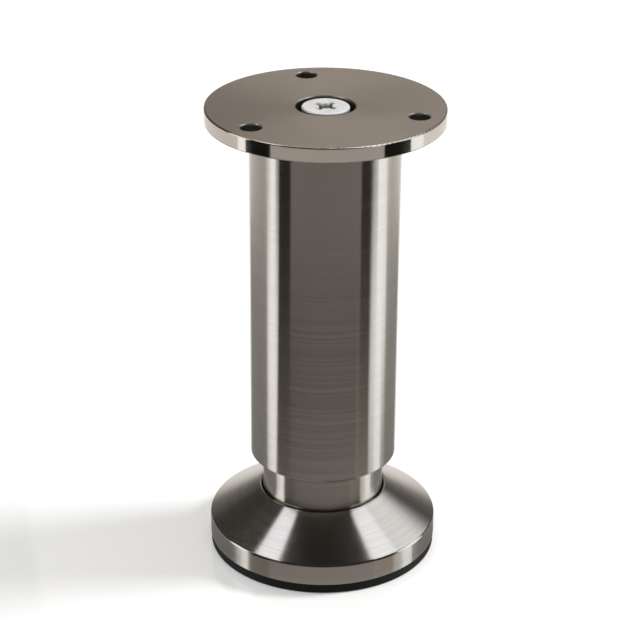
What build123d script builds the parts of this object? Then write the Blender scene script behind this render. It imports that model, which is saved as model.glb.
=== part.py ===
"""Height-adjustable furniture leg: a round fixing plate, a tube, a neck that screws in and out of the tube,
and a flared foot that the neck turns in. The leg stands on its foot, with the axis along +Z and z = 0 on the
floor. Sizes are in millimetres, and the neck is screwed out as far as the photograph shows it."""

from math import cos, radians, sin, tan
import os

from build123d import *

# Heights that show, from the floor up
pad_height = 2.45  # black pad between floor and rim
rim_height = 5.85  # upright rim of the flared foot
cone_height = 8.5  # slope of the flared foot
neck_shown = 9.85  # bare neck between foot and tube
tube_length = 91.7
plate_thickness = 3.75

# Diameters that show
plate_diameter = 60.0
tube_diameter = 38.0
foot_diameter = 59.8

# Travel of the foot from the pictured height
screw_in = 8.7
screw_out = 11.3

# How far a cutter or a joined rib runs past the face that it starts from
overrun = 1.0

# Walls
tube_wall = 1.5
neck_wall = 1.2
guide_wall = 1.4  # guide ring between tube and neck
foot_wall = 1.5

# Clearances, on the radius or on the length
press_gap = 0.05  # piece pressed into a tube
thread_gap = 0.05  # thread in its nut, both drawn plain
slide_gap = 0.15  # neck in its guide ring and in the foot's socket
turn_gap = 0.1  # faces that turn past each other
neck_hole_gap = 0.25  # dark ring around the neck where it enters the foot

# Fixing plate
hole_circle = 48.0
hole_diameter = 5.4
hole_count = 3
hole_start = 102.0  # degrees from +X to the first hole
hole_edge = 0.15  # chamfer on both ends of the fixing holes
plate_edge = 0.3  # rounding of the plate's rim
well_diameter = 15.0  # well that the centre screw's head sits in
well_edge = 0.15
spigot_depth = 8.0
spigot_wall = 2.2
plate_boss_wall = 2.4  # metal around the well, below the plate
plate_ribs = 6

# Centre screw, M6, and its spring washer
screw_diameter = 6.0
screw_hole_gap = 0.3
screw_length = 16.0
screw_point = 0.75  # chamfer at the tip of a screw
head_diameter = 12.0
head_height = 3.9
head_round = 0.4
head_sink = 0.05  # head below the plate's face
cross_span = 6.3  # tip to tip of the cross recess
cross_arm = 1.5
cross_depth = 2.3
cross_taper = 8.0  # degrees
cross_core_top = 3.7  # round middle of the recess, across
cross_core_bottom = 1.8
cross_core_depth = 3.3
cross_turn = 52.0  # degrees from +X to one arm
lock_washer_thickness = 1.6
lock_washer_diameter = 11.8
lock_washer_slit = 1.0

# Castings pressed into the tubes
insert_gap = 0.6  # between the plate's spigot and the insert below it
insert_length = 9.0
insert_hub = 16.0
bush_length = 12.0
bush_hub = 20.0
plug_length = 12.0
plug_hub = 19.0
casting_wall = 2.0
casting_web = 3.0
casting_edge = 0.3  # chamfer on the ends of the castings and of the plate's spigot
casting_ribs = 6
rib_thickness = 1.8

# Adjusting stud, M10, and its thin nut
stud_diameter = 10.0
stud_hold = 9.0  # thread left in the bush when the foot is screwed right out
stud_lift = 0.4  # stud's lower end above the plug's face
stud_chamfer = 1.0
nut_width = 17.0
nut_height = 5.0
nut_corner_angle = 30.0  # degrees

# Neck and guide ring
neck_hold = 12.0  # neck left in the tube when the foot is screwed right out
neck_spare = 2.0  # room above the neck when the foot is screwed right in
neck_rise = 0.2  # neck's lower edge above the plug's thrust face
guide_length = 10.0
guide_inset = 0.3  # guide ring above the tube's mouth
guide_slit = 2.0
tube_edge = 0.4
neck_edge = 0.3

# Foot
foot_edge = 0.7  # rounding between slope and rim
foot_hem = 0.25  # chamfer at the rim's lower edge
lip_edge = 0.45
core_gap = 0.1  # core inside the rim and under the slope
core_floor = 3.0
seat_height = 10.0  # thrust face that the neck's plug turns on, above the floor
seat_thickness = 3.2
hub_wall = 3.6
core_ribs = 12
core_rib_thickness = 1.6
core_pocket_wall = 2.6
pad_inset = 0.15  # pad's edge inside the rim's
pad_edge = 0.5
pad_hollow_diameter = 42.0
pad_hollow_depth = 0.8
pad_groove_width = 0.7
pad_groove_depth = 0.5
pad_groove_pitch = 2.4
pad_grooves = 2
peg_circle = 46.0
peg_diameter = 4.0
peg_length = 2.4
peg_count = 3
peg_start = 15.0  # degrees

# Screw and washer that hold the foot on the neck
swivel_length = 12.0
swivel_head_diameter = 11.0
swivel_head_height = 2.8
swivel_washer_diameter = 14.0
swivel_washer_thickness = 1.0
swivel_recess_gap = 0.75
swivel_tapping_spare = 1.0  # tapped length past the swivel screw's tip

# Levels worked out from the heights
rim_bottom = pad_height
rim_top = rim_bottom + rim_height
lip_top = rim_top + cone_height
tube_bottom = lip_top + neck_shown
tube_top = tube_bottom + tube_length
plate_top = tube_top + plate_thickness

neck_bottom = seat_height + neck_rise
neck_top = tube_bottom + screw_out + neck_hold
bush_bottom = neck_top + screw_in + neck_spare
bush_top = bush_bottom + bush_length
stud_bottom = seat_height + stud_lift
stud_top = bush_bottom + stud_hold + screw_out
plug_top = seat_height + plug_length

head_top = plate_top - head_sink
head_under = head_top - head_height
well_floor = head_under - lock_washer_thickness
spigot_bottom = tube_top - spigot_depth
insert_top = spigot_bottom - insert_gap
insert_bottom = insert_top - insert_length

washer_top = seat_height - seat_thickness - turn_gap
swivel_under = washer_top - swivel_washer_thickness
swivel_bottom = swivel_under - swivel_head_height

# Radii worked out from the diameters
plate_radius = plate_diameter / 2
tube_radius = tube_diameter / 2
bore_radius = tube_radius - tube_wall
fitted_radius = bore_radius - press_gap
neck_radius = fitted_radius - guide_wall - slide_gap
neck_bore_radius = neck_radius - neck_wall
foot_radius = foot_diameter / 2
lip_radius = neck_radius + neck_hole_gap
socket_radius = neck_radius + slide_gap
well_radius = well_diameter / 2


def turned(*points):
    """A solid of revolution about Z from the corners (radius, height) of its half section."""
    return revolve(Plane.XZ * make_face(Polyline(*points, close=True)), Axis.Z)


def ring(outer, inner, bottom, top):
    """A plain ring, or a disc where inner is 0."""
    return turned((inner, bottom), (outer, bottom), (outer, top), (inner, top))


def circles(part, radius, height):
    """The round edges of part that have this radius about any axis and lie at this height."""
    return [
        edge
        for edge in part.edges().filter_by(GeomType.CIRCLE)
        if abs(edge.radius - radius) < 0.01 and abs(edge.arc_center.Z - height) < 0.01
    ]


def spokes(count, thickness, reach, bottom, top, start=0.0):
    """Upright walls that run out from the axis, evenly spaced."""
    wall = Pos(reach / 2, 0, (bottom + top) / 2) * Box(reach, thickness, top - bottom)
    return Part() + [Rot(0, 0, start + 360 / count * i) * wall for i in range(count)]


def pockets(outer, inner, bottom, top, count, thickness, start=0.0):
    """The spaces between the ribs of a casting, to be cut from it."""
    return ring(outer, inner, bottom, top) - spokes(count, thickness, outer + overrun, bottom, top, start)


def casting(radius, bottom, top, bore, hub, web_at_top):
    """A die-cast plug: rim, hub and ribs on a web, with one bore along the axis."""
    body = turned(
        (bore, bottom),
        (radius, bottom),
        (radius, top),
        (bore, top),
    )
    low, high = (bottom, top - casting_web) if web_at_top else (bottom + casting_web, top)
    body -= pockets(radius - casting_wall, hub / 2, low, high, casting_ribs, rib_thickness)
    ends = circles(body, radius, bottom) + circles(body, radius, top)
    return chamfer(ends, casting_edge)


def cross_recess():
    """The cross recess of a screw, cut down from z = 0: four tapered arms about a round core."""
    arms = Rectangle(cross_span, cross_arm) + Rectangle(cross_arm, cross_span)
    cut = extrude(Rot(180, 0, 0) * arms, cross_depth, taper=cross_taper)
    core = Cone(cross_core_bottom / 2, cross_core_top / 2, cross_core_depth)
    core = Pos(0, 0, -cross_core_depth / 2) * core
    return cut + core


def pan_screw(head, height, length):
    """A pan-head screw that points down, with the top of its head at z = 0 and its thread drawn plain."""
    shank = screw_diameter / 2
    tip = -height - length
    body = turned(
        (0, 0),
        (head / 2, 0),
        (head / 2, -height),
        (shank, -height),
        (shank, tip + screw_point),
        (shank - screw_point, tip),
        (0, tip),
    )
    body = fillet(circles(body, head / 2, 0), head_round)
    return body - cross_recess()


def mounting_plate():
    """Round plate with three fixing holes, a well for the centre screw and a ribbed spigot for the tube."""
    boss = well_radius + plate_boss_wall
    plate = ring(plate_radius, 0, tube_top, plate_top)
    plate = fillet(circles(plate, plate_radius, tube_top) + circles(plate, plate_radius, plate_top), plate_edge)
    spigot = ring(fitted_radius, 0, spigot_bottom, tube_top)
    spigot = chamfer(circles(spigot, fitted_radius, spigot_bottom), casting_edge)
    spigot -= pockets(
        fitted_radius - spigot_wall, boss, spigot_bottom, tube_top, plate_ribs, rib_thickness
    )
    plate += spigot
    plate -= ring(well_radius, 0, well_floor, plate_top)
    plate -= ring(screw_diameter / 2 + screw_hole_gap, 0, spigot_bottom, well_floor)
    plate = chamfer(circles(plate, well_radius, plate_top), well_edge)
    hole = Pos(0, 0, (tube_top + plate_top) / 2) * Cylinder(hole_diameter / 2, plate_thickness)
    places = PolarLocations(hole_circle / 2, hole_count, start_angle=hole_start)
    plate -= [place * hole for place in places]
    mouths = circles(plate, hole_diameter / 2, plate_top) + circles(plate, hole_diameter / 2, tube_top)
    return chamfer(mouths, hole_edge)


def centre_screw():
    """Screw that draws the plate down on the tube, its head flush in the plate's well."""
    screw = pan_screw(head_diameter, head_height, screw_length)
    return Pos(0, 0, head_top) * Rot(0, 0, cross_turn) * screw


def lock_washer():
    """Split spring washer under the centre screw's head, drawn pressed flat."""
    inner = screw_diameter / 2 + screw_hole_gap
    washer = ring(lock_washer_diameter / 2, inner, well_floor, head_under)
    middle = (well_floor + head_under) / 2
    slit = Box(lock_washer_diameter, lock_washer_slit, lock_washer_thickness)
    return washer - Pos(lock_washer_diameter / 2, 0, middle) * slit


def outer_tube():
    """Tube that carries the load, its lower mouth rounded outside and eased inside."""
    tube = ring(tube_radius, bore_radius, tube_bottom, tube_top)
    tube = fillet(circles(tube, tube_radius, tube_bottom), tube_edge)
    return chamfer(circles(tube, bore_radius, tube_bottom), tube_edge)


def top_insert():
    """Casting pressed into the tube's upper end, tapped for the centre screw."""
    bore = screw_diameter / 2 + thread_gap
    return casting(fitted_radius, insert_bottom, insert_top, bore, insert_hub, web_at_top=True)


def thread_bush():
    """Casting pressed into the tube, tapped for the adjusting stud."""
    bore = stud_diameter / 2 + thread_gap
    return casting(fitted_radius, bush_bottom, bush_top, bore, bush_hub, web_at_top=False)


def guide_ring():
    """Split nylon ring in the tube's mouth that steadies the neck."""
    bottom = tube_bottom + tube_edge + guide_inset
    top = bottom + guide_length
    band = ring(fitted_radius, socket_radius, bottom, top)
    slit = Box(tube_diameter, guide_slit, guide_length)
    return band - Pos(-tube_radius, 0, (bottom + top) / 2) * slit


def neck_sleeve():
    """Sleeve that slides in the tube and turns in the foot."""
    sleeve = ring(neck_radius, neck_bore_radius, neck_bottom, neck_top)
    ends = circles(sleeve, neck_radius, neck_bottom) + circles(sleeve, neck_radius, neck_top)
    return chamfer(ends, neck_edge)


def neck_plug():
    """Casting pressed into the neck's lower end. It holds the stud and turns on the foot's seat."""
    bore = stud_diameter / 2 + thread_gap
    radius = neck_bore_radius - press_gap
    return casting(radius, seat_height, plug_top, bore, plug_hub, web_at_top=False)


def adjusting_stud():
    """Stud that joins neck and bush, its thread drawn plain, tapped below for the swivel screw."""
    stud = ring(stud_diameter / 2, 0, stud_bottom, stud_top)
    ends = circles(stud, stud_diameter / 2, stud_bottom) + circles(stud, stud_diameter / 2, stud_top)
    stud = chamfer(ends, stud_chamfer)
    tapped = screw_diameter / 2 + thread_gap
    tapped_to = swivel_under + swivel_length + swivel_tapping_spare
    return stud - ring(tapped, 0, stud_bottom, tapped_to)


def stud_nut():
    """Thin hexagon nut that locks the stud in the plug, its corners turned off above and below."""
    corner = nut_width / 2 / cos(radians(30))
    drop = (corner - nut_width / 2) * tan(radians(nut_corner_angle))
    nut_top = plug_top + nut_height
    hexagon = extrude(Plane.XY.offset(plug_top) * RegularPolygon(corner, 6), nut_height)
    turned_off = turned(
        (stud_diameter / 2 + thread_gap, plug_top),
        (nut_width / 2, plug_top),
        (corner, plug_top + drop),
        (corner, nut_top - drop),
        (nut_width / 2, nut_top),
        (stud_diameter / 2 + thread_gap, nut_top),
    )
    return hexagon & turned_off


def slope_below(radius, depth):
    """Height of a line under the foot's slope at this radius, depth below the outer face, square to it."""
    fall = cone_height / (foot_radius - lip_radius)
    return lip_top - (radius - lip_radius) * fall - depth * (1 + fall**2) ** 0.5


def flared_foot():
    """Spun cover of the foot: a slope from the neck's hole to an upright rim, in one wall."""
    inner = foot_radius - foot_wall
    cover = turned(
        (lip_radius, lip_top),
        (foot_radius, rim_top),
        (foot_radius, rim_bottom),
        (inner, rim_bottom),
        (inner, slope_below(inner, foot_wall)),
        (lip_radius, slope_below(lip_radius, foot_wall)),
    )
    cover = fillet(circles(cover, foot_radius, rim_top), foot_edge)
    cover = fillet(circles(cover, lip_radius, lip_top), lip_edge)
    return chamfer(circles(cover, foot_radius, rim_bottom), foot_hem)


def foot_core():
    """Moulding inside the foot: it carries the neck's thrust to the pad and backs the slope with ribs."""
    rim = foot_radius - foot_wall - core_gap
    hub = socket_radius + hub_wall
    depth = foot_wall + core_gap
    floor_top = rim_bottom + core_floor
    seat_bottom = seat_height - seat_thickness
    bore = screw_diameter / 2 + screw_hole_gap
    recess = swivel_washer_diameter / 2 + swivel_recess_gap
    pocket_inner = recess + core_pocket_wall
    pocket_outer = hub - core_pocket_wall
    core = turned(
        (recess, rim_bottom),
        (pocket_inner, rim_bottom),
        (pocket_inner, seat_bottom),
        (pocket_outer, seat_bottom),
        (pocket_outer, rim_bottom),
        (rim, rim_bottom),
        (rim, floor_top),
        (hub, floor_top),
        (hub, slope_below(hub, depth)),
        (socket_radius, slope_below(socket_radius, depth)),
        (socket_radius, seat_height),
        (bore, seat_height),
        (bore, seat_bottom),
        (recess, seat_bottom),
    )
    under_seat = ring(pocket_outer + overrun, pocket_inner - overrun, rim_bottom, seat_bottom)
    core += under_seat & spokes(core_ribs, core_rib_thickness, hub, rim_bottom, seat_bottom)
    under_slope = turned(
        (hub - overrun, floor_top),
        (rim, floor_top),
        (rim, slope_below(rim, depth)),
        (hub - overrun, slope_below(hub - overrun, depth)),
    )
    core += under_slope & spokes(core_ribs, core_rib_thickness, foot_radius, floor_top, lip_top)
    return core - [place * peg_at(peg_length + turn_gap, press_gap) for place in peg_places()]


def peg_places():
    """Where the pad's pegs stand, between the core's ribs."""
    return PolarLocations(peg_circle / 2, peg_count, start_angle=peg_start)


def peg_at(length, gap):
    """One peg on the axis, from the pad's upper face up."""
    return Pos(0, 0, rim_bottom + length / 2) * Cylinder(peg_diameter / 2 + gap, length)


def floor_pad():
    """Black pad that the leg stands on, hollowed below, with grooves around its tread and pegs above."""
    radius = foot_radius - pad_inset
    hollow = pad_hollow_diameter / 2
    pad = ring(radius, 0, 0, rim_bottom)
    pad = fillet(circles(pad, radius, 0), pad_edge)
    pad -= ring(hollow, 0, 0, pad_hollow_depth)
    for i in range(pad_grooves):
        inner = hollow + pad_groove_pitch * (i + 1)
        pad -= ring(inner + pad_groove_width, inner, 0, pad_groove_depth)
    return pad + [place * peg_at(peg_length, 0) for place in peg_places()]


def swivel_screw():
    """Screw from below into the stud's end. The foot turns under its washer."""
    screw = pan_screw(swivel_head_diameter, swivel_head_height, swivel_length)
    return Pos(0, 0, swivel_bottom) * Rot(180, 0, 0) * screw


def swivel_washer():
    """Washer between the swivel screw's head and the foot's core."""
    inner = screw_diameter / 2 + screw_hole_gap
    return ring(swivel_washer_diameter / 2, inner, swivel_under, washer_top)


nodes = {
    "mounting_plate": mounting_plate,
    "centre_screw": centre_screw,
    "lock_washer": lock_washer,
    "top_insert": top_insert,
    "outer_tube": outer_tube,
    "thread_bush": thread_bush,
    "guide_ring": guide_ring,
    "neck_sleeve": neck_sleeve,
    "neck_plug": neck_plug,
    "adjusting_stud": adjusting_stud,
    "stud_nut": stud_nut,
    "swivel_screw": swivel_screw,
    "swivel_washer": swivel_washer,
    "flared_foot": flared_foot,
    "foot_core": foot_core,
    "floor_pad": floor_pad,
}

os.makedirs("parts", exist_ok=True)
for name, build in nodes.items():
    export_step(build(), f"parts/{name}.step")
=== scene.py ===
"""Looks for a levelling furniture leg, with a brushed tube, a round plate and a flared foot, in a small studio."""

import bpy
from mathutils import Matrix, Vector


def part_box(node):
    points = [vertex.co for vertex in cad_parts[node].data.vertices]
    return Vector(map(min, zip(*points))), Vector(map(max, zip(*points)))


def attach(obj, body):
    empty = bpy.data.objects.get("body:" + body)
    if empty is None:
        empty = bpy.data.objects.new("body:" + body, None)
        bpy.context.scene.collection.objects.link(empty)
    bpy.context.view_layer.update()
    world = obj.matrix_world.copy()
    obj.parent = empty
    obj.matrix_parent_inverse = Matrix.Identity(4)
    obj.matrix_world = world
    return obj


bl_info = {
    "name": "Levelling Furniture Leg",
    "version": (1, 0, 0),
    "blender": (4, 5, 0),
    "location": "3D View > Sidebar > Leg",
    "description": "Finishes the leg's metal, nylon and rubber pieces and sets up the studio",
    "category": "Object",
}

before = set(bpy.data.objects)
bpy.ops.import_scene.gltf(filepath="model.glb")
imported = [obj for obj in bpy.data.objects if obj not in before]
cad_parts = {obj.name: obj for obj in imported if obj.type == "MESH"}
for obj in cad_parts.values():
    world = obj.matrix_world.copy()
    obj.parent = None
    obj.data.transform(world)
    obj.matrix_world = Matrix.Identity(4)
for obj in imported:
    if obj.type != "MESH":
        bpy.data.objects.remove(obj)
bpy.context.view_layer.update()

import math

import bpy
import numpy as np
from bpy.props import FloatProperty, FloatVectorProperty, PointerProperty
from mathutils import Matrix, Vector


def linear(hex_colour):
    """Turn a six-digit sRGB hex value into linear red, green and blue."""
    channels = [int(hex_colour[i:i + 2], 16) / 255 for i in (0, 2, 4)]
    return tuple(c / 12.92 if c <= 0.04045 else ((c + 0.055) / 1.055) ** 2.4 for c in channels)


def colour(name, description, hex_colour):
    """A colour setting with its default given as sRGB hex."""
    return FloatVectorProperty(
        name=name, description=description, subtype="COLOR", size=3, min=0, max=1, default=linear(hex_colour))


def length(name, description, millimetres):
    """A length setting with its default given in millimetres."""
    return FloatProperty(
        name=name, description=description, subtype="DISTANCE", unit="LENGTH", min=0,
        precision=5, default=millimetres / 1000)


# Settings that a user would change

class LegFinishes(bpy.types.PropertyGroup):
    """Colours of the metals and plastics, and the size of the brushing."""
    nickel: colour("Nickel", "Satin nickel plate on the steel tubes and the foot's cover", "d7d1ca")
    plate_nickel: colour("Plate nickel", "Nickel plate on the cast fixing plate", "d6cfc7")
    zinc: colour("Zinc plate", "Bright zinc on the screws, the nut and the washers", "eff0f0")
    casting: colour("Casting", "Bare zinc alloy of the pressed-in castings", "a9a9a8")
    white_nylon: colour("White nylon", "Guide ring", "eceae2")
    black_nylon: colour("Black nylon", "Core of the foot", "1d1d1e")
    rubber: colour("Rubber", "Floor pad", "0b0b0a")
    brush_line: length("Brush line", "Pitch of the brushing lines around the tubes", 0.3)
    brush_reach: length("Brush line length", "How far one brushing line runs around the tube", 120)


class LegStudio(bpy.types.PropertyGroup):
    """Where the camera and the reflected cards stand, the lamps' power and the floor's colour."""
    camera_distance: length("Camera distance", "From the aim point on the leg's axis to the lens", 538.36)
    camera_climb: FloatProperty(
        name="Camera climb", description="Angle by which the camera looks down", subtype="ANGLE", unit="ROTATION",
        default=math.radians(25.188))
    camera_roll: FloatProperty(
        name="Camera roll", description="Turn of the camera about its line of sight", subtype="ANGLE",
        unit="ROTATION", default=math.radians(0.475))
    aim_height: length("Aim height", "Height of the aim point above the floor", 63.912)
    focal_length: FloatProperty(
        name="Focal length", description="Lens for a sensor 36 mm wide", unit="CAMERA", min=1, default=117.587)
    aside: FloatProperty(
        name="Sideways shift", description="Share of the frame's width by which the leg stands right of centre",
        default=0.0061)
    card_distance: length("Card distance", "From the leg to the cards that the metal reflects", 1500)
    lamp_power: FloatProperty(name="Lamp power", description="Power of each lamp", unit="POWER", min=0, default=9.5)
    floor: colour("Floor", "Pale floor", "ebebea")


# Fixed shares and levels of the finishes, the floor and the lamps; lengths in metres

RADIUS_SHARE = 0.554     # how much the radius counts beside the height in where a brushing line lies
BELT_SHARE = 0.1         # how much the wider belts count beside the fine lines
RIM_ROUGHNESS = 0.09     # the plate's polished rim
BORE_ROUGHNESS = 0.55    # the plate's holes and underside
BORE_SHADE = 0.2         # painted shade: how bright the holes and the underside are, beside the face
FLOOR_REACH = 3.0        # from the leg to each of the floor's sides
FLOOR_DROP = 0.00005     # keeps the floor's face just off the pad's
FLOOR_MIRROR = 0.165     # the share of light that the floor mirrors
FLOOR_WHITE = 0.23       # the white that the floor adds near the leg
FLOOR_NEAR = 0.3         # that white grows from here
FLOOR_FAR = 0.8          # and is full from here on
ROOM_LIGHT = 0.3         # the even light on what is matt
LAMP_AIM = (0, 0, 0.05)  # where both lamps point
# Place and width of each lamp
LAMPS = {
    "key_lamp": ((0.82, 0.13, 0.76), 0.28),
    "top_lamp": ((-0.1, -0.1, 1.3), 1.4),
}


# Mesh and node helpers

def mesh_object(name, points, faces):
    """Make an object from an array of points (n x 3) and an array of four-cornered faces (m x 4)."""
    mesh = bpy.data.meshes.new(name)
    mesh.from_pydata(points, [], faces)
    mesh.update()
    made = bpy.data.objects.new(name, mesh)
    bpy.context.scene.collection.objects.link(made)
    return made


def grid_faces(rows, columns):
    """Four-cornered faces of a grid of rows x columns points, numbered row by row."""
    first = np.arange(rows - 1)[:, None] * columns + np.arange(columns - 1)[None, :]
    return np.stack([first, first + 1, first + columns + 1, first + columns], axis=-1).reshape(-1, 4)


def new_material(name):
    """Make an empty material and return it with its node tree and its output node."""
    made = bpy.data.materials.new(name)
    made.use_nodes = True
    made.node_tree.nodes.clear()
    return made, made.node_tree, made.node_tree.nodes.new("ShaderNodeOutputMaterial")


def add(tree, kind, inputs=None, **settings):
    """Add one node with its own settings; inputs fills its sockets with a value or with another node's output."""
    made = tree.nodes.new(kind)
    for setting, value in settings.items():
        setattr(made, setting, value)
    for socket, value in (inputs or {}).items():
        if isinstance(value, bpy.types.NodeSocket):
            tree.links.new(value, made.inputs[socket])
        else:
            made.inputs[socket].default_value = value
    return made


def noise(tree, where, per_metre, detail, roughness):
    """Cloudy noise between 0 and 1, with so many of its largest cells in a metre."""
    return add(tree, "ShaderNodeTexNoise", {
        "Vector": where, "Scale": per_metre, "Detail": detail, "Roughness": roughness}).outputs["Fac"]


def spread(tree, value, start, end, low, high):
    """Turn a value that runs from start to end into one that runs from low to high and holds there."""
    return add(tree, "ShaderNodeMapRange", {
        "Value": value, "From Min": start, "From Max": end, "To Min": low, "To Max": high}).outputs["Result"]


def blend(tree, share, first, second):
    """The first value where share is 0 and the second where it is 1."""
    return add(tree, "ShaderNodeMix", {"Factor": share, "A": first, "B": second}, data_type="FLOAT").outputs[0]


def product(tree, first, second):
    """Two values multiplied."""
    return add(tree, "ShaderNodeMath", {0: first, 1: second}, operation="MULTIPLY").outputs[0]


def shade(tree, base, level):
    """A colour multiplied by a level that varies over the piece."""
    return add(tree, "ShaderNodeVectorMath", {0: tuple(base), "Scale": level}, operation="SCALE").outputs["Vector"]


def bump(tree, height, strength, depth):
    """The normal of a fine relief, its depth in metres."""
    return add(tree, "ShaderNodeBump", {
        "Height": height, "Strength": strength, "Distance": depth}).outputs["Normal"]


def object_place(tree):
    """Where a point lies, in the leg's own coordinates."""
    return add(tree, "ShaderNodeTexCoord").outputs["Object"]


def from_axis(tree, where):
    """How far a place is from the leg's axis."""
    flat = add(tree, "ShaderNodeVectorMath", {0: where, 1: (1, 1, 0)}, operation="MULTIPLY")
    return add(tree, "ShaderNodeVectorMath", {0: flat.outputs["Vector"]}, operation="LENGTH").outputs["Value"]


def seen_by_eye(tree):
    """1 for what the camera sees, straight, mirrored or through something, and 0 for what only lights the leg."""
    ray = add(tree, "ShaderNodeLightPath")
    seen = add(tree, "ShaderNodeMath", {0: ray.outputs["Is Camera Ray"], 1: ray.outputs["Is Glossy Ray"]},
               operation="ADD")
    return add(tree, "ShaderNodeMath", {0: seen.outputs[0], 1: ray.outputs["Is Transmission Ray"]},
               operation="ADD", use_clamp=True).outputs[0]


def surface(tree, output, inputs):
    """Join a surface shader with these inputs to the material's output."""
    shader = add(tree, "ShaderNodeBsdfPrincipled", inputs)
    tree.links.new(shader.outputs["BSDF"], output.inputs["Surface"])


def dress(nodes, material):
    """Give the named CAD nodes one material."""
    for node in nodes:
        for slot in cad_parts[node].material_slots:
            slot.material = material


# Finishes

def brushed_nickel(finishes):
    """Satin nickel plate on drawn steel, brushed around the axis with a fine belt.

    The lines run round the leg, so a reflection stays sharp across them and smears along the axis. That gives the
    eye upright bright and dark bands with a faint level grain in them.
    """
    material, tree, output = new_material("satin_nickel_plate_brushed_around")
    where = object_place(tree)
    parts = add(tree, "ShaderNodeSeparateXYZ", {"Vector": where})
    # Down the flared foot the radius changes from line to line as well as the height, so both count
    along = add(tree, "ShaderNodeMath", {0: from_axis(tree, where), 1: -RADIUS_SHARE, 2: parts.outputs["Z"]},
                operation="MULTIPLY_ADD")
    track = add(tree, "ShaderNodeCombineXYZ", {
        "X": parts.outputs["X"], "Y": parts.outputs["Y"], "Z": along.outputs[0]})
    around, down = 1 / finishes.brush_reach, 1 / finishes.brush_line
    # Real lines are about 0.05 mm apart, too fine to show here, so they are drawn as coarse as they need to be.
    # The noise fades out on its own lattice, so the leg's axis is moved off it.
    line_space = add(tree, "ShaderNodeMapping", {
        "Vector": track.outputs["Vector"], "Location": (0.37, 0.61, 0), "Scale": (around, around, down)})
    lines = noise(tree, line_space.outputs["Vector"], 1.0, 3.0, 0.8)
    # Wider belts of lines, where the brushing pressed harder
    belt_space = add(tree, "ShaderNodeMapping", {
        "Vector": track.outputs["Vector"], "Location": (0.61, 0.37, 0),
        "Scale": (0.5 * around, 0.5 * around, 0.15 * down)})
    belts = noise(tree, belt_space.outputs["Vector"], 1.0, 2.0, 0.5)
    both = blend(tree, BELT_SHARE, lines, belts)
    axis_tangent = add(tree, "ShaderNodeTangent", direction_type="RADIAL", axis="Z")
    surface(tree, output, {
        "Base Color": shade(tree, finishes.nickel, spread(tree, both, 0.3, 0.7, 0.87, 1.04)),
        "Metallic": 1.0, "Roughness": spread(tree, both, 0.3, 0.7, 0.148, 0.188),
        "Anisotropic": 0.9, "Anisotropic Rotation": 0.25,
        "Normal": bump(tree, lines, 1.0, 0.0000013), "Tangent": axis_tangent.outputs["Tangent"]})
    return material


def plate_nickel(finishes):
    """Nickel plate on a zinc alloy casting: its face vibrated to an even satin, its rim turned and polished bright.

    The face shows the room as one soft gradient. The rim mirrors it sharply.
    """
    material, tree, output = new_material("nickel_plated_zinc_casting")
    where = object_place(tree)
    height = add(tree, "ShaderNodeSeparateXYZ", {"Vector": where}).outputs["Z"]
    _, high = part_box("mounting_plate")
    # 1 on the face and on the chamfers of its holes, 0 in the bores and below
    face = spread(tree, height, high.z - 0.0006, high.z - 0.0003, 0.0, 1.0)
    # 1 on the outermost 0.6 mm, which is the polished rim with its rounded edge
    rim = spread(tree, from_axis(tree, where), high.x - 0.0006, high.x - 0.0001, 0.0, 1.0)
    # Grain 0.56 mm across, and smudges 22 mm across
    grain = noise(tree, where, 1800.0, 2.0, 0.6)
    smudge = noise(tree, where, 45.0, 3.0, 0.55)
    dull = blend(tree, face, BORE_ROUGHNESS, spread(tree, smudge, 0.3, 0.7, 0.28, 0.33))
    # The bores and the underside are painted darker, as the shade that falls in the holes and under the plate
    unshaded = add(tree, "ShaderNodeMath", {0: face, 1: rim}, operation="MAXIMUM")
    tone_and_shade = product(tree, spread(tree, smudge, 0.2, 0.8, 0.95, 1.04),
                    spread(tree, unshaded.outputs[0], 0.0, 1.0, BORE_SHADE, 1.0))
    axis_tangent = add(tree, "ShaderNodeTangent", direction_type="RADIAL", axis="Z")
    surface(tree, output, {
        "Base Color": shade(tree, finishes.plate_nickel, tone_and_shade),
        "Metallic": 1.0, "Roughness": blend(tree, rim, dull, RIM_ROUGHNESS),
        "Anisotropic": 0.4, "Anisotropic Rotation": 0.25,
        "Normal": bump(tree, grain, 0.5, 0.000002), "Tangent": axis_tangent.outputs["Tangent"]})
    return material


def zinc_plate(finishes):
    """Bright zinc plate on cold-headed steel: cool, shiny and a little cloudy, with soft dents from the barrel.

    Its passivated film scatters light, so to the eye it is only half a metal.
    """
    material, tree, output = new_material("bright_zinc_plated_steel")
    where = object_place(tree)
    height = add(tree, "ShaderNodeSeparateXYZ", {"Vector": where}).outputs["Z"]
    # Clouds and dents 2.4 mm across
    cloud = noise(tree, where, 420.0, 4.0, 0.6)
    # Everything below the top screw's face is painted darker, as the shade that falls in the cross recess
    _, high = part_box("centre_screw")
    painted_recess_shade = spread(tree, height, high.z - 0.0007, high.z - 0.0003, 0.35, 1.0)
    tone_and_shade = product(tree, spread(tree, cloud, 0.25, 0.75, 0.93, 1.05), painted_recess_shade)
    surface(tree, output, {
        "Base Color": shade(tree, finishes.zinc, tone_and_shade),
        "Metallic": 0.5, "Roughness": spread(tree, cloud, 0.3, 0.7, 0.34, 0.48),
        "Normal": bump(tree, cloud, 0.6, 0.00004)})
    return material


def bare_casting(finishes):
    """Zinc alloy as it leaves the die: dull grey with a sandy grain of about 0.3 mm."""
    material, tree, output = new_material("zinc_alloy_as_cast")
    grain = noise(tree, object_place(tree), 3300.0, 3.0, 0.6)
    surface(tree, output, {
        "Base Color": shade(tree, finishes.casting, spread(tree, grain, 0.25, 0.75, 0.85, 1.08)),
        "Metallic": 1.0, "Roughness": 0.55, "Normal": bump(tree, grain, 0.5, 0.00004)})
    return material


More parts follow.
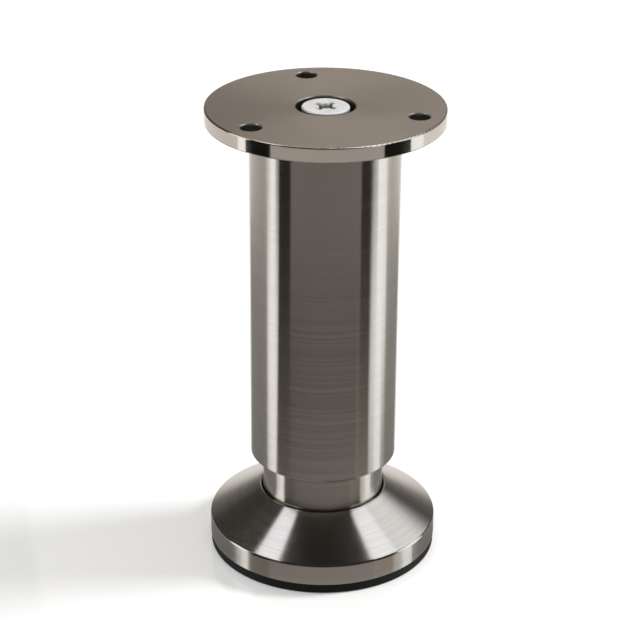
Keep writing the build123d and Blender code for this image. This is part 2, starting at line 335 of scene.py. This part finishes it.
def moulding(name, base, roughness, grain_size):
    """Moulded nylon or rubber: one colour through and through, with the fine spark grain of its mould."""
    material, tree, output = new_material(name)
    grain = noise(tree, object_place(tree), 1 / grain_size, 2.0, 0.6)
    surface(tree, output, {
        "Base Color": shade(tree, base, spread(tree, grain, 0.25, 0.75, 0.85, 1.1)),
        "Roughness": spread(tree, grain, 0.3, 0.7, roughness - 0.05, roughness + 0.05),
        "Normal": bump(tree, grain, 0.5, 0.00003)})
    return material


# Studio

def card_material():
    """Plain glowing card: its brightness is the glow stored on each point of its mesh."""
    material, tree, output = new_material("studio_card")
    glow = add(tree, "ShaderNodeAttribute", attribute_name="glow")
    shine = add(tree, "ShaderNodeEmission", {"Color": glow.outputs["Color"], "Strength": 1.0})
    tree.links.new(shine.outputs["Emission"], output.inputs["Surface"])
    material.cycles.emission_sampling = "NONE"
    return material


def card(name, material, distance, tint, rows):
    """Part of a sphere about the leg, facing it. Each row gives a climb, the azimuths of the card's two sides there
    and its glow, or its glow at each side; between the rows and the sides these run straight.

    A point at azimuth a (from the camera's side towards the image's right) and climb c lies at
    (sin a cos c, -cos a cos c, sin c) times the distance.
    """
    climbs, starts, ends, *glows = np.array(rows, float).T
    climb = np.linspace(climbs[0], climbs[-1], 2 + int(climbs[-1] - climbs[0]))
    across = np.linspace(0, 1, 2 + int(np.max(np.abs(ends - starts)) / 2))
    start, end = np.interp(climb, climbs, starts), np.interp(climb, climbs, ends)
    a = np.radians(start[:, None] + (end - start)[:, None] * across)
    c = np.radians(climb)[:, None] + 0 * a
    points = distance * np.stack([np.sin(a) * np.cos(c), -np.cos(a) * np.cos(c), np.sin(c)], axis=-1)
    points[..., 2] += bpy.context.scene.leg_studio.aim_height
    made = mesh_object(name, points.reshape(-1, 3), grid_faces(*a.shape)[:, ::-1])
    first, last = np.interp(climb, climbs, glows[0]), np.interp(climb, climbs, glows[-1])
    level = (first[:, None] + (last - first)[:, None] * across).ravel()
    stored = made.data.attributes.new("glow", "FLOAT_COLOR", "POINT")
    colours = np.ones((len(level), 4))
    colours[:, :3] = level[:, None] * np.array(linear(tint))
    stored.data.foreach_set("color", colours.ravel())
    made.data.materials.append(material)
    for ray in ("camera", "diffuse", "transmission", "volume_scatter", "shadow"):
        setattr(made, "visible_" + ray, False)
    return made


def build_camera(studio):
    """Stand the camera in front of the leg, looking down at its axis."""
    aim = Vector((0, 0, studio.aim_height))
    forward = Vector((0, math.cos(studio.camera_climb), -math.sin(studio.camera_climb)))
    right = Vector((1, 0, 0))
    up = right.cross(forward)
    turn = Matrix.Rotation(-studio.camera_roll, 3, forward)
    right, up = turn @ right, turn @ up
    camera = bpy.data.objects.new("camera", bpy.data.cameras.new("camera"))
    camera.matrix_world = Matrix.Translation(aim - forward * studio.camera_distance) @ Matrix(
        (right, up, -forward)).transposed().to_4x4()
    camera.data.lens = studio.focal_length
    camera.data.sensor_width = 36
    camera.data.shift_x = -studio.aside
    camera.data.clip_start = 0.01
    bpy.context.scene.collection.objects.link(camera)
    bpy.context.scene.camera = camera


# Cards that the metal reflects: distance as a share of the card distance, tint, and rows of climb, two azimuths
# and a glow, or a glow at each of the two azimuths. The nearer card hides the farther one.
CARDS = {
    "room": (1.3, "fdf9ef", (
        (-89.9, -180, 180, 0.12), (-35, -180, 180, 0.12), (5, -180, 180, 0.08), (30, -180, 180, 0.05),
        (60, -180, 180, 0.05), (74, -180, 180, 0.04), (80, -180, 180, 0.02), (89.9, -180, 180, 0.01))),
    "side_wall": (1.25, "fffcf6", (
        (-80, 88, 272, 0.1, 0.1), (-33, 88, 272, 0.2, 0.15), (-27, 88, 272, 0.3, 0.25), (-22, 88, 272, 0.22, 0.2),
        (-20.5, 88, 272, 0.96, 0.72), (-17, 88, 272, 0.96, 0.72), (-16, 88, 272, 0.2, 0.2),
        (-8, 88, 272, 0.12, 0.12), (5, 88, 272, 0.08, 0.08))),
    "back_wall": (1.2, "fffcf6", (
        (-32, 158, 202, 0.4), (-24, 158, 202, 1.0), (-18, 158, 202, 0.95), (-6, 156, 204, 0.85), (-1, 152, 208, 0.6),
        (4, 148, 212, 0.25), (11, 140, 220, 0.15), (20, 138, 222, 0.08))),
    "back_screen": (0.2, "fff3e6", (
        (14, 155, 205, 0.2, 0.3), (22, 155, 205, 0.39, 0.4), (27, 155, 205, 0.38, 0.3), (31, 155, 205, 0.38, 0.02),
        (38, 155, 205, 0.38, 0.0), (44, 155, 205, 0.32, 0.0))),
    "back_light": (1.05, "fff6ee", ((42, 150, 210, 1.9), (62, 150, 210, 1.9))),
    "box_left": (0.99, "fdfeff", (
        (-80, -91.5, -83, 0.85), (-36, -91.5, -83, 0.9), (-33, -92, -82, 0.95), (-31, -96.5, -79.5, 1.22),
        (-24, -98, -73.8, 1.28), (-21.5, -98, -73.8, 1.28), (-20.5, -89, -79.4, 1.25), (-15.5, -89, -79.4, 1.25),
        (-14.5, -98, -74.4, 1.3), (30, -98, -74.4, 1.3))),
    "box_right": (0.99, "f9feff", (
        (-80, 91, 107, 0.85), (-36, 91, 107, 0.92), (-33, 91, 106, 0.98), (-31, 91, 103.5, 1.18),
        (-29.5, 76, 102.5, 1.08), (-28, 74.5, 104.5, 1.2), (-26, 75.5, 109, 1.33), (-24, 76.8, 111.5, 1.34),
        (-21.5, 77.8, 109.5, 1.34), (-20.5, 86.7, 104.2, 1.25), (-15.5, 86.7, 104.2, 1.25),
        (-14.5, 77.8, 111, 1.34), (30, 77.8, 111, 1.34))),
    "flag_left": (1.01, "fcf3e6", (
        (-80, -86, -50, 0.26), (-33, -86, -50, 0.28), (-30, -86, -50, 0.11), (-27, -86, -50, 0.03),
        (-24, -86, -50, 0.01), (45, -86, -50, 0.01))),
    "flag_right": (1.01, "fcf3e6", (
        (-80, 50, 92, 0.42), (-33, 50, 92, 0.46), (-31, 50, 92, 0.34), (-29.5, 50, 92, 0.14), (-27, 50, 92, 0.03),
        (-24, 50, 92, 0.01), (45, 50, 92, 0.01))),
    "front_card": (1.0, "fef7f0", (
        (-80, -57, 55, 0.42, 0.44), (-40, -57, 55, 0.43, 0.46), (-33, -57, 55, 0.35, 0.41),
        (-31, -56, 53, 0.09, 0.12), (-29.5, -55, 52, 0.01, 0.02), (-22, -55, 52, 0.0, 0.01),
        (-20.5, -51.9, 56.3, 0.5, 0.5), (-17.0, -51.9, 56.3, 0.5, 0.5), (-16.0, -55, 54, 0.02, 0.02),
        (45, -55, 54, 0.02, 0.02))),
    "high_strip_left": (0.95, "f2f7ff", (
        (47.7, -92, -48, 1.4), (53.7, -101, -54, 1.4), (57.2, -111, -60, 1.4), (58.7, -125, -62, 1.4),
        (59.7, -150, -64, 1.4), (64.4, -150, -75.3, 1.4), (69.4, -148, -95, 1.4), (70.4, -125, -121, 1.4))),
    "high_strip_right": (0.95, "f2f7ff", (
        (43, 60, 98.5, 1.4), (48.4, 66, 106.6, 1.4), (52.4, 71, 114, 1.4), (55, 74.8, 150, 1.4),
        (61, 84.5, 150, 1.4), (66.5, 98, 148, 1.4), (68, 122.3, 124, 1.4))),
    "high_fill_right": (1.0, "f8fcff", (
        (16, 105, 150, 0.05), (20, 105, 150, 0.13), (24, 105, 150, 0.33), (29, 100, 150, 0.78), (34, 100, 150, 1.04),
        (41, 98.5, 150, 1.06), (46.4, 104, 150, 1.05), (55, 112, 150, 1.08))),
}


def build_cards(studio):
    """Stand the cards and soft boxes that the metal reflects."""
    glow = card_material()
    for name, (share, tint, rows) in CARDS.items():
        card(name, glow, share * studio.card_distance, tint, rows)


def build_floor(studio):
    """A wide pale floor, which keeps the leg's shadow and adds its own white to what the camera sees.

    It stays out of the metal's reflections, where the cards stand for it.
    """
    across = np.linspace(-FLOOR_REACH, FLOOR_REACH, 3)
    x, y = np.meshgrid(across, across)
    points = np.stack([x, y, np.full_like(x, -FLOOR_DROP)], axis=-1)
    floor = mesh_object("floor", points.reshape(-1, 3), grid_faces(*x.shape))
    material, tree, output = new_material("pale_floor")
    # One share of mirroring at every angle, so that a low view doesn't show the studio's cards in the floor
    matt = add(tree, "ShaderNodeBsdfDiffuse", {"Color": (*studio.floor, 1)})
    sheen = add(tree, "ShaderNodeBsdfAnisotropic", {"Color": (1, 1, 1, 1), "Roughness": 0.06})
    paint = add(tree, "ShaderNodeMixShader", {0: FLOOR_MIRROR, 1: matt.outputs["BSDF"], 2: sheen.outputs["BSDF"]})
    # The lamps don't reach far, so the floor's own white grows away from the leg until it meets the white room
    away = add(tree, "ShaderNodeVectorMath", {0: object_place(tree)}, operation="LENGTH")
    grown = spread(tree, away.outputs["Value"], FLOOR_NEAR, FLOOR_FAR, FLOOR_WHITE, 1.0)
    white = add(tree, "ShaderNodeEmission", {
        "Color": (1, 1, 1, 1), "Strength": product(tree, seen_by_eye(tree), grown)})
    total = add(tree, "ShaderNodeAddShader", {0: paint.outputs["Shader"], 1: white.outputs["Emission"]})
    tree.links.new(total.outputs["Shader"], output.inputs["Surface"])
    material.cycles.emission_sampling = "NONE"
    floor.data.materials.append(material)
    floor.visible_glossy = False
    # The leg stands on its pad however far the foot is screwed out, so the floor goes with the foot
    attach(floor, "foot")


def build_lamps(studio):
    """A soft key lamp from the right, which lays the shadow to the left, and a broad weak one overhead."""
    for name, (place, width) in LAMPS.items():
        lamp = bpy.data.objects.new(name, bpy.data.lights.new(name, "AREA"))
        lamp.data.shape = "DISK"
        lamp.data.size = width
        lamp.data.energy = studio.lamp_power
        lamp.location = place
        lamp.rotation_euler = (Vector(LAMP_AIM) - Vector(place)).to_track_quat("-Z", "Y").to_euler()
        lamp.visible_glossy = False
        bpy.context.scene.collection.objects.link(lamp)


def build_world():
    """A white room to the camera and to reflections, and an even grey light on what is matt."""
    world = bpy.data.worlds.new("studio")
    world.use_nodes = True
    tree = world.node_tree
    tree.nodes.clear()
    strength = spread(tree, seen_by_eye(tree), 0.0, 1.0, ROOM_LIGHT, 1.0)
    sky = add(tree, "ShaderNodeBackground", {"Color": (1, 1, 1, 1), "Strength": strength})
    output = add(tree, "ShaderNodeOutputWorld", {"Surface": sky.outputs["Background"]})
    output.is_active_output = True
    bpy.context.scene.world = world


# Operators

class LEG_OT_studio(bpy.types.Operator):
    """Set up the camera, the floor, the lamps and the reflected cards"""
    bl_idname = "leg.studio"
    bl_label = "Studio"

    def execute(self, context):
        studio = context.scene.leg_studio
        build_camera(studio)
        build_floor(studio)
        build_lamps(studio)
        build_cards(studio)
        build_world()
        context.scene.view_settings.view_transform = "Standard"
        return {"FINISHED"}


class LEG_OT_brushed_tubes(bpy.types.Operator):
    """Give the outer tube, the neck and the flared foot their brushed nickel"""
    bl_idname = "leg.brushed_tubes"
    bl_label = "Brushed tubes and foot"

    def execute(self, context):
        dress(("outer_tube", "neck_sleeve", "flared_foot"), brushed_nickel(context.scene.leg_finishes))
        return {"FINISHED"}


class LEG_OT_fixing_plate(bpy.types.Operator):
    """Give the cast fixing plate its nickel plate, satin on the face and bright on the rim"""
    bl_idname = "leg.fixing_plate"
    bl_label = "Fixing plate"

    def execute(self, context):
        dress(("mounting_plate",), plate_nickel(context.scene.leg_finishes))
        return {"FINISHED"}


class LEG_OT_screws(bpy.types.Operator):
    """Give the screws, the stud, the nut and the washers their zinc plate"""
    bl_idname = "leg.screws"
    bl_label = "Screws, stud and washers"

    def execute(self, context):
        dress(("centre_screw", "lock_washer", "adjusting_stud", "stud_nut", "swivel_screw", "swivel_washer"),
              zinc_plate(context.scene.leg_finishes))
        return {"FINISHED"}


class LEG_OT_castings(bpy.types.Operator):
    """Give the pressed-in castings their bare metal"""
    bl_idname = "leg.castings"
    bl_label = "Castings"

    def execute(self, context):
        dress(("top_insert", "thread_bush", "neck_plug"), bare_casting(context.scene.leg_finishes))
        return {"FINISHED"}


class LEG_OT_mouldings(bpy.types.Operator):
    """Give the nylon ring, the nylon core and the rubber pad their moulded surfaces"""
    bl_idname = "leg.mouldings"
    bl_label = "Nylon and rubber"

    def execute(self, context):
        finishes = context.scene.leg_finishes
        dress(("guide_ring",), moulding("white_nylon_moulded", finishes.white_nylon, 0.42, 0.0005))
        dress(("foot_core",), moulding("black_nylon_moulded", finishes.black_nylon, 0.45, 0.0004))
        dress(("floor_pad",), moulding("black_rubber_moulded", finishes.rubber, 0.62, 0.0003))
        return {"FINISHED"}


class LEG_PT_panel(bpy.types.Panel):
    """Lists the leg's pieces and their settings"""
    bl_idname = "LEG_PT_panel"
    bl_label = "Furniture leg"
    bl_space_type = "VIEW_3D"
    bl_region_type = "UI"
    bl_category = "Leg"

    def draw(self, context):
        for operator in OPERATORS:
            self.layout.operator(operator.bl_idname)
        for group in (context.scene.leg_finishes, context.scene.leg_studio):
            box = self.layout.box()
            for setting in group.__annotations__:
                box.prop(group, setting)


OPERATORS = (
    LEG_OT_studio, LEG_OT_brushed_tubes, LEG_OT_fixing_plate, LEG_OT_screws, LEG_OT_castings, LEG_OT_mouldings)
CLASSES = (LegFinishes, LegStudio, *OPERATORS, LEG_PT_panel)


def register():
    """Add the classes and their settings to the scene."""
    for each in CLASSES:
        bpy.utils.register_class(each)
    bpy.types.Scene.leg_finishes = PointerProperty(type=LegFinishes)
    bpy.types.Scene.leg_studio = PointerProperty(type=LegStudio)


def unregister():
    """Take the classes and their settings out again."""
    del bpy.types.Scene.leg_studio
    del bpy.types.Scene.leg_finishes
    for each in reversed(CLASSES):
        bpy.utils.unregister_class(each)


def main():
    """Build everything in order."""
    register()
    bpy.ops.leg.studio()
    bpy.ops.leg.brushed_tubes()
    bpy.ops.leg.fixing_plate()
    bpy.ops.leg.screws()
    bpy.ops.leg.castings()
    bpy.ops.leg.mouldings()


if __name__ == "__main__":
    main()
